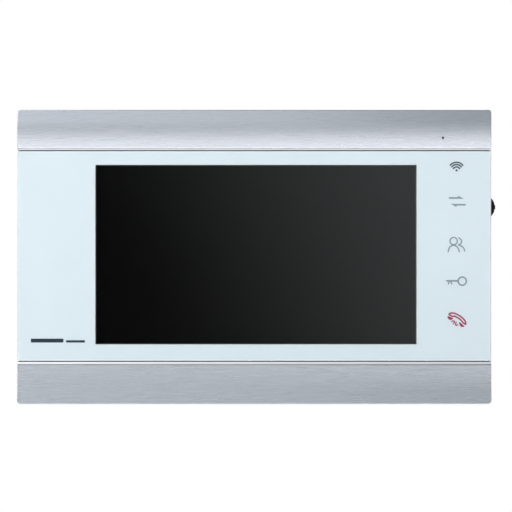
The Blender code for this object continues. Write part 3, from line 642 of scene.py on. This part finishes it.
PANEL_X, GLASS_D, PANEL_Z = extent("front_glass")
PANE = 0.25  # clear face of the glass, over the print
OVERHANG = 0.6  # how far the clear face reaches over the frame's side rims
PRINT_D = (GLASS_D[0], GLASS_D[1] - PANE - 0.05)  # the white coat, a hair behind the clear face
INK_D = (PRINT_D[1] + 0.005, PRINT_D[1] + 0.035)  # marks and lines, between the two
SCREEN_X = (-76.77, 78.49)  # the clear window in the white coat
SCREEN_Z = (-42.25, 44.51)
BODY_X = extent("front_frame")[0]


def inset(pair, amount):
    """The (low, high) pair moved inwards at both ends."""
    return pair[0] + amount, pair[1] - amount


def make_glass():
    """The clear front face of the glass with its ground and polished edge."""
    back, front = GLASS_D[1] - PANE, GLASS_D[1]
    profile = [
        (0.5, back), (0.05, back), (0.0, back + 0.05),
        (0.0, front - 0.1), (0.03, front - 0.03), (0.1, front), (0.13, front), (0.5, front),
    ]
    corner = 0.8
    rings = []
    for amount, depth in profile:
        outline = rounded(inset(PANEL_X, amount - OVERHANG), inset(PANEL_Z, amount), corner - amount / 2)
        rings.append([(x, depth, z) for x, z in outline])
    glass = piece("glass_pane", "clear_glass", skin(rings), sharp=30, stands_for=["front_glass"])
    assign(glass, "clear_glass", "polished_edge")
    for face in glass.data.polygons:
        if abs(face.normal.y) < 0.9999:
            face.material_index = 1


def frame_shape(x, z, width, depth):
    """A rectangular border lying inside x and z."""
    inner_x, inner_z = inset(x, width), inset(z, width)
    rings = []
    for side, end in ((0, 0), (1, 0), (1, 1), (0, 1)):
        out = (x[side], z[end])
        into = (inner_x[side], inner_z[end])
        rings.append([
            (out[0], depth[0], out[1]), (out[0], depth[1], out[1]),
            (into[0], depth[1], into[1]), (into[0], depth[0], into[1]),
        ])
    return skin(rings, closed=True)


def make_print():
    """The white coat behind the clear face. It covers the frame's rims and leaves the screen open."""
    reach = 0.17  # past the CAD glass at each side
    back, front = PRINT_D
    outer = rounded(inset(PANEL_X, -reach), inset(PANEL_Z, 0.02), 0.7)
    window = rounded(SCREEN_X, SCREEN_Z, 0.25)
    rings = []
    for outline, depth in ((outer, back), (outer, front), (window, front), (window, back)):
        rings.append([(x, depth, z) for x, z in outline])
    piece("print_sheet", "white_print", skin(rings, closed=True), stands_for=["printed_film"])


def make_painted_edge_highlight():
    """Painted highlight: bright lines along the left, right and lower edge of the glass, where its edge
    catches the light, widest on the left towards the key light.
    """
    left, right, bottom = 1.4, 0.8, 0.75  # their widths
    x = inset(PANEL_X, 0.04 - OVERHANG)
    z = inset(PANEL_Z, 0.04)
    lines = [
        slab(rounded((x[0], x[0] + left), z, 0.3), INK_D),
        slab(rounded((x[1] - right, x[1]), z, 0.3), INK_D),
        slab(rounded(inset(x, 1.5), (z[0], z[0] + bottom), 0.3), INK_D),
    ]
    piece("edge_highlight_lines", "white_print", *lines, look="painted_edge_highlight")


def make_window_lines():
    """The pale line round the screen window and the LCD's black mask behind it."""
    line = frame_shape(inset(SCREEN_X, -0.5), inset(SCREEN_Z, -0.5), 0.5, INK_D)
    piece("window_outline", "white_print", line, look="white_outline")
    cell_front = extent("lcd_cell")[1][1]
    mask_d = (cell_front + 0.02, cell_front + 0.06)
    mask = frame_shape(inset(SCREEN_X, -0.8), inset(SCREEN_Z, -0.8), 1.25, mask_d)
    piece("lcd_mask", "black_foam", mask, look="mask_black")


make_glass()
make_print()
make_painted_edge_highlight()
make_window_lines()


# ---------------------------------------------------------------- printed marks

NEARLY_ROUND = 360 - 12  # where a ring of 30 points ends, one step short of its start


def mark_wireless():
    """A dot under three arcs of growing radius."""
    dot = (97.72, 41.81)
    waves = []
    for radius, start in ((1.72, 30), (2.85, 37), (3.93, 39.5)):
        waves.append(stroke(arc(dot, radius, start, 180 - start), 0.7, INK_D))
    piece("mark_wireless", "dark_ink", slab(arc(dot, 0.54, 0, 345, 23), INK_D), *waves)


def mark_transfer():
    """Two half arrows that point opposite ways."""
    upper = [(94.05, 28.07), (101.34, 28.07), (98.62, 29.63), (98.38, 28.93), (94.05, 28.93)]
    turn_x, turn_z = 98.11, 26.88
    lower = [(2 * turn_x - x, 2 * turn_z - z) for x, z in upper]
    piece("mark_transfer", "grey_ink", slab(upper, INK_D), slab(lower, INK_D))


def mark_people():
    """A person's head and shoulders with another behind."""
    front_head = arc((96.34, 7.67), 1.76, 0, NEARLY_ROUND, 29)
    front_body = smooth([(93.65, 2.49), (94.49, 4.79), (96.34, 5.66), (98.17, 4.67), (99.15, 2.49)])
    back_head = smooth([(98.79, 9.28), (99.92, 8.37), (100.17, 7.49), (99.74, 6.44), (98.69, 5.8)])
    back_body = smooth([(98.69, 5.8), (100.45, 5.02), (101.34, 3.97), (101.68, 2.84)])
    outlines = [stroke(front_head, 0.65, INK_D, closed=True)]
    outlines += [stroke(path, 0.65, INK_D) for path in (front_body, back_head, back_body)]
    piece("mark_people", "grey_ink", *outlines)


def mark_key():
    """A key on its side: a ring, a blade and two teeth."""
    bow = stroke(arc((100.49, -11.68), 1.97, 0, NEARLY_ROUND, 29), 0.78, INK_D, closed=True)
    blade = stroke([(93.05, -11.54), (98.24, -11.54)], 0.85, INK_D)
    teeth = []
    for top, tip in ((94.05, 93.75), (95, 95.45)):
        teeth.append(stroke([(top, -12.17), (tip, -13.03)], 0.66, INK_D))
    piece("mark_key", "grey_ink", bow, blade, *teeth)


def mark_hang_up():
    """A telephone handset: its handle's outline, two solid caps and two curls below."""
    handle = smooth([
        (94.13, -27.7), (94.67, -27.21), (95.66, -27.06), (96.93, -27.25), (98.02, -27.75),
        (99.21, -28.44), (100.29, -29.22), (101.19, -30.06), (101.83, -30.91), (102.19, -31.69),
        (102.02, -32.55), (101.42, -32.18), (100.59, -31.4), (99.75, -30.4), (98.8, -29.67),
        (97.72, -29.03), (96.73, -28.58), (95.85, -28.73), (94.97, -28.34),
    ], 4, closed=True)
    left_cap = smooth([
        (93.54, -28.55), (94.75, -28.95), (96.05, -29.67), (95.66, -30.19), (94.77, -30.41),
        (93.88, -30.06), (93.34, -29.27),
    ], 4, closed=True)
    right_cap = smooth([
        (99.06, -31.45), (99.9, -31.94), (100.79, -32.77), (101.53, -33.55), (100.59, -33.87),
        (99.8, -33.62), (99.21, -32.73), (98.9, -31.94),
    ], 4, closed=True)
    left_curl = smooth([(95.36, -31.24), (96.05, -30.9), (96.79, -31.15), (96.55, -31.74), (96.16, -32.33)])
    right_curl = smooth([(97.67, -31.5), (97.28, -32.13), (97.28, -32.77), (97.72, -33.13), (98.26, -32.63)])
    shapes = [stroke(handle, 0.73, INK_D, closed=True)]
    shapes += [slab(cap, INK_D) for cap in (left_cap, right_cap)]
    shapes += [stroke(curl, 0.56, INK_D) for curl in (left_curl, right_curl)]
    piece("mark_hang_up", "red_ink", *shapes)


def plain_bars():
    """Two plain bars at the lower left."""
    bars = []
    for x, z in (((-107.93, -92.15), (-41.33, -39.44)), ((-90.95, -81.77), (-41.33, -40.24))):
        bars.append(slab(rounded(x, z, 0.3), INK_D))
    piece("plain_bars", "dark_ink", *bars)


mark_wireless()
mark_transfer()
mark_people()
mark_key()
mark_hang_up()
plain_bars()


# ---------------------------------------------------------------- brushed strips

STRIP_BACK = 20.5  # depth of the sheet's inner side
LIP_FRONT = 23.18  # depth of its cut lip
GROOVE_DEPTH = 0.35
GROOVE = (0.10, 0.14, 0.4, 0.44)  # outward from the lip: edge, floor, floor and edge
EDGE_ROLL = 0.35  # radius along the outer edge
END_ROLL = 0.15  # radius at the two ends
FLANGE = 1.9  # width of the folded outer flange


def strip_front(away, climb, fall):
    """Depth of a strip's front, this far from its inner edge: it climbs, bends and falls."""
    climb_from, bend_from, bend_length = 0.85, 1.0, 13.0
    share = min(max((away - bend_from) / bend_length, 0.0), 1.0)
    bend = (fall - climb) * bend_length * share ** 3 / 3
    past = max(away - bend_from - bend_length, 0.0) * (fall - climb)
    return LIP_FRONT + climb * max(away - climb_from, 0.0) + bend + past


def strip_profile(width, foot, lip, climb, fall):
    """(depth, away from the inner edge) round the folded sheet, which reaches back to foot."""
    floor = LIP_FRONT - GROOVE_DEPTH
    profile = [(STRIP_BACK, 0.0), (LIP_FRONT - 0.3, 0.0), (LIP_FRONT - 0.24, 0.04)]
    profile += [(LIP_FRONT - 0.02, lip), (LIP_FRONT, lip + 0.06)]
    profile += [(depth, lip + step) for depth, step in zip((LIP_FRONT, floor, floor, LIP_FRONT), GROOVE)]
    away = lip + 0.5
    while away < width - EDGE_ROLL:
        profile.append((strip_front(away, climb, fall), away))
        away += 0.25
    crown = strip_front(width - EDGE_ROLL, climb, fall)
    for turn in range(9):
        angle = radians(90 * turn / 8)
        profile.append((crown - EDGE_ROLL * (1 - cos(angle)), width - EDGE_ROLL * (1 - sin(angle))))
    return profile + [(foot, width), (foot, width - FLANGE), (STRIP_BACK, width - FLANGE)]


def make_strip(name, node, corner_radius, lip, climb, fall, cuts=()):
    """A folded sheet with a cut lip, a fine groove, a softly bent front and a rolled outer edge.

    lip is the cut lip's width, climb and fall are the front's slopes before and after the bend,
    and cuts are more places along x where the sheet gets a ring of points.
    """
    x, d, z = extent(node)
    inner, out = (z[0], 1) if z[1] > 0 else (z[1], -1)
    length, width = x[1] - x[0], z[1] - z[0]
    profile = strip_profile(width, d[0], lip, climb, fall)
    folded = STRIP_BACK + 1  # in front of this depth the ends are rounded

    near_end = [0.0, 0.01, 0.03, 0.07, 0.11, 0.15, 0.3, 0.45, 0.65, 0.9, 1.2, 1.7, 2.2]
    stations = near_end + [length / 2] + [length - stop for stop in near_end] + [cut - x[0] for cut in cuts]
    rings = []
    for station in sorted(stations):
        near = min(station, length - station)
        corner = max(corner_radius - near, 0.0)
        pulled = corner_radius - sqrt(corner_radius ** 2 - corner ** 2)
        round_off = max(END_ROLL - near, 0.0)
        lowered = END_ROLL - sqrt(END_ROLL ** 2 - round_off ** 2)
        ring = []
        for depth, away in profile:
            if depth > folded or away == width:
                away = min(away, width / 2 + (away - width / 2) * (1 - 2 * pulled / width))
            if depth > folded:
                depth = max(depth - lowered, folded)
            ring.append((x[0] + station, depth, inner + out * away))
        rings.append(ring)
    strip = piece(name, "brushed_aluminium", skin(rings), sharp=30, stands_for=[node])
    assign(strip, "brushed_aluminium", "cut_lip", "painted_groove_shade")
    # the cut lip's faces get bare metal, and the groove's faces a darker copy of it as painted shade
    for face in strip.data.polygons:
        away = abs(face.center.z / MM - inner)
        if -face.center.y / MM > LIP_FRONT - 0.4 and away < lip + 0.45:
            face.material_index = 1 if away < lip + GROOVE[0] else 2
    return strip


def make_upper_strip():
    """The upper strip with the microphone's hole and the gauze in it."""
    mic = (91.15, 57.55)
    hole, gauze_rim = 0.7, 0.66  # radii
    beside_mic = [mic[0] + step for step in (-2.0, -1.0, 1.0, 2.0)]
    strip = make_strip("strip_upper", "top_strip", 1.2, 0.5, 0.10, -0.035, beside_mic)
    drill(strip, turned([(0, 20.0), (hole, 20.0), (hole, 24.5), (0, 24.5)], mic, 24))
    gauze = [(0, 22.6), (0.5, 22.6), (gauze_rim, 22.7), (gauze_rim, 23.4), (0, 23.45)]
    piece("mic_gauze", "black_foam", turned(gauze, mic, 24))


def make_gap_shade():
    """Near-black sheets at the bottom of the open lines between the glass and the strips: painted shade that
    makes the gaps dark.
    """
    low, high = PANEL_Z
    for name, z in (("gap_shade_upper", (high + 0.03, high + 0.43)), ("gap_shade_lower", (low - 0.43, low - 0.03))):
        rings = []
        for pull, depth in ((0.0, 20.9), (0.0, 22.2), (0.1, 22.3)):
            outline = rounded(inset(BODY_X, 1.0), inset(z, pull), 0.05, 2)
            rings.append([(x, depth, height) for x, height in outline])
        piece(name, "black_foam", skin(rings), look="painted_gap_shade")


make_upper_strip()
make_strip("strip_lower", "bottom_strip", 1.7, 0.95, 0.03, 0.08)
make_gap_shade()


# ---------------------------------------------------------------- jog lever

def lever_outline(centre_x, centre_z, radius, nose_x):
    """(x, z) round the lever: a drum with fine grip ribs beside its nose."""
    root, last_rib = 19.0, 75.0  # degrees from the nose
    rib = 0.1
    steps = 120
    outline = []
    for step in range(steps + 1):
        turn = root + (360 - 2 * root) * step / steps
        near = min(turn, 360 - turn)
        reach = radius - rib if near < last_rib and step % 2 else radius
        angle = radians(turn)
        outline.append((centre_x + reach * cos(angle), centre_z + reach * sin(angle)))
    nose = [(-0.5, -1.15), (-0.12, -0.95), (0.0, -0.7), (-0.14, 0.0), (0.0, 0.7), (-0.12, 0.95), (-0.5, 1.15)]
    return outline + [(nose_x + u, centre_z + v) for u, v in nose]


def make_jog_lever():
    """The tilting lever with softened rims and a bore for its pin."""
    x, d, z = extent("jog_lever")
    radius = (z[1] - z[0]) / 2
    centre_x, centre_z = x[0] + radius, sum(z) / 2
    pin_x, bore = 109.8, 1.1  # the pin's place and the bore's radius
    outline = lever_outline(centre_x, centre_z, radius, x[1])
    half = [(0.945, 0.0), (0.985, 0.1), (1.0, 0.35)]  # (share of the full size, in from the rim)
    sections = [(share, d[0] + step) for share, step in half]
    sections += [(share, d[1] - step) for share, step in reversed(half)]
    rings = []
    for share, depth in sections:
        ring = []
        for u, v in outline:
            ring.append((centre_x + (u - centre_x) * share, depth, centre_z + (v - centre_z) * share))
        rings.append(ring)
    for depth in (d[1], d[0]):
        ring = []
        for u, v in outline:
            toward = Vector((u - pin_x, v - centre_z)).normalized() * bore
            ring.append((pin_x + toward.x, depth, centre_z + toward.y))
        rings.append(ring)
    grip = skin(rings, closed=True)
    piece("jog_grip", "jog_plastic", grip, body="jog_lever", sharp=40, stands_for=["jog_lever"])


make_jog_lever()


# ---------------------------------------------------------------- back and inside

def make_header_pins():
    """Tinned square pins with chamfered tips in each header."""
    pitch = 2.5
    corners = ((-1, -1), (1, -1), (1, 1), (-1, 1))
    headers = {"header_door_1": 4, "header_door_2": 4, "header_monitor": 4, "header_power": 2}
    for header, ways in headers.items():
        x, d, z = extent(header)
        centre_x, centre_z = sum(x) / 2, sum(z) / 2
        pins = []
        for way in range(ways):
            pin_x = centre_x + (way - (ways - 1) / 2) * pitch
            rings = []
            for half, depth in ((0.18, d[0] + 0.75), (0.35, d[0] + 1.1), (0.35, d[1] - 1.5)):
                rings.append([(pin_x + u * half, depth, centre_z + v * half) for u, v in corners])
            pins.append(skin(rings))
        piece(f"{header}_pins", "zinc_screw", *pins)


def make_acoustic_cloth():
    """Cloth behind the loudspeaker's slots."""
    x, _, z = extent("speaker_gasket")
    centre = (sum(x) / 2, sum(z) / 2)
    profile = [(0, 2.42), (16.6, 2.38), (16.8, 2.45), (16.6, 2.52), (0, 2.55)]
    piece("speaker_cloth", "black_foam", turned(profile, centre, 48), look="acoustic_cloth")


def make_label_border():
    """A thin line round the blank label."""
    x, d, z = extent("rating_label")
    margin = 1.2
    path = rounded(inset(x, margin), inset(z, margin), 1.0)
    line = stroke(path, 0.25, (d[0] - 0.02, d[0] + 0.05), closed=True)
    piece("label_border", "grey_ink", line)


make_header_pins()
make_acoustic_cloth()
make_label_border()


# ---------------------------------------------------------------- floor, light and camera

def make_floor():
    """A pale round floor below the monitor that fades into the white surroundings."""
    mesh = bpy.data.meshes.new("floor")
    form = bmesh.new()
    bmesh.ops.create_circle(form, cap_ends=True, radius=0.85, segments=96)
    form.to_mesh(mesh)
    form.free()
    floor = bpy.data.objects.new("floor", mesh)
    floor.location.z = -0.25
    bpy.context.scene.collection.objects.link(floor)
    graph = Graph("pale_floor")
    here = graph.add("TexCoord").outputs["Object"]
    far = graph.add("VectorMath", {0: here}, operation="LENGTH").outputs["Value"]
    paint = graph.surface((0.86, 0.86, 0.86), graph.span(graph.noise(3.0, 3.0), 0.55, 0.65))
    clear = graph.add("BsdfTransparent").outputs["BSDF"]
    fade = graph.span(far, 0.0, 1.0, 0.45, 0.84)
    mesh.materials.append(graph.finish(graph.add("MixShader", {0: fade, 1: paint, 2: clear}).outputs[0]))


def soft_light(name, place, size, power, colour=(1, 1, 1)):
    """A rectangular light of this size in metres and power in watts, aimed at the frame's origin."""
    light = bpy.data.lights.new(name, "AREA")
    light.shape = "RECTANGLE"
    light.size, light.size_y = size
    light.energy = power
    light.color = colour
    lamp = bpy.data.objects.new(name, light)
    lamp.location = place
    lamp.rotation_euler = (-Vector(place)).to_track_quat("-Z", "Y").to_euler()
    bpy.context.scene.collection.objects.link(lamp)


def make_surroundings():
    """White to look at, while what it lights and reflects is an even grey studio.

    A band behind the viewer goes from black at the left to bright at the right, which gives the
    dark screen its reflection.
    """
    world = bpy.data.worlds.new("studio")
    add = NodeTree(world).add
    toward = add("TexCoord").outputs["Generated"]
    slant = add("VectorMath", {0: toward, 1: (1.0, 0.0, 0.45)}, operation="DOT_PRODUCT").outputs["Value"]
    ramp = {"Value": slant, "From Min": -0.085, "From Max": 0.175, "To Min": 0.0, "To Max": 0.76}
    panel = add("MapRange", ramp, interpolation_type="SMOOTHSTEP").outputs["Result"]
    part = add("SeparateXYZ", {"Vector": toward})
    rear = {"Value": part.outputs["Y"], "From Min": -0.90, "From Max": -0.97}
    behind = add("MapRange", rear).outputs["Result"]
    height = add("Math", {0: part.outputs["Z"]}, operation="ABSOLUTE").outputs[0]
    across = add("MapRange", {"Value": height, "From Min": 0.12, "From Max": 0.06}).outputs["Result"]
    share = add("Math", {0: behind, 1: across}, operation="MULTIPLY").outputs[0]
    level = add("Mix", {0: share, 2: 0.65, 3: panel}, data_type="FLOAT").outputs[0]
    studio = add("Background", {"Color": (0.95, 0.98, 1.0, 1.0), "Strength": level})
    white = add("Background", {"Color": (1.0, 1.0, 1.0, 1.0), "Strength": 1.0})
    seen = add("LightPath").outputs["Is Camera Ray"]
    mixed = add("MixShader", {0: seen, 1: studio.outputs[0], 2: white.outputs[0]})
    add("OutputWorld", {"Surface": mixed.outputs[0]})
    bpy.context.scene.world = world


def make_camera():
    """A long lens straight in front of the object."""
    camera = bpy.data.cameras.new("camera")
    camera.lens = 135.0
    camera.sensor_width = 36.0
    camera.clip_start = 0.05
    item = bpy.data.objects.new("camera", camera)
    item.location = spot(0.85, 950.2, 0.47)
    item.rotation_euler = (radians(90), 0, 0)
    bpy.context.scene.collection.objects.link(item)
    bpy.context.scene.camera = item


WARM = (1.0, 0.945, 0.895)

make_floor()
make_surroundings()
soft_light("key", (-1.15, -1.45, 1.25), (1.3, 2.3), 75.0)
soft_light("side", (-0.9, -0.5, 0.25), (0.4, 0.6), 5.0)
soft_light("middle", (-0.42, -2.0, 0.45), (1.2, 0.3), 2.5)
soft_light("low", (-0.12, -1.6, -0.50), (1.75, 0.2), 14.5, WARM)
soft_light("lower", (-0.12, -1.5, -0.62), (1.75, 0.25), 7.0, WARM)
soft_light("back", (0.7, 1.4, 0.6), (1.2, 1.0), 16.0)
make_camera()
bpy.context.scene.view_settings.view_transform = "Standard"
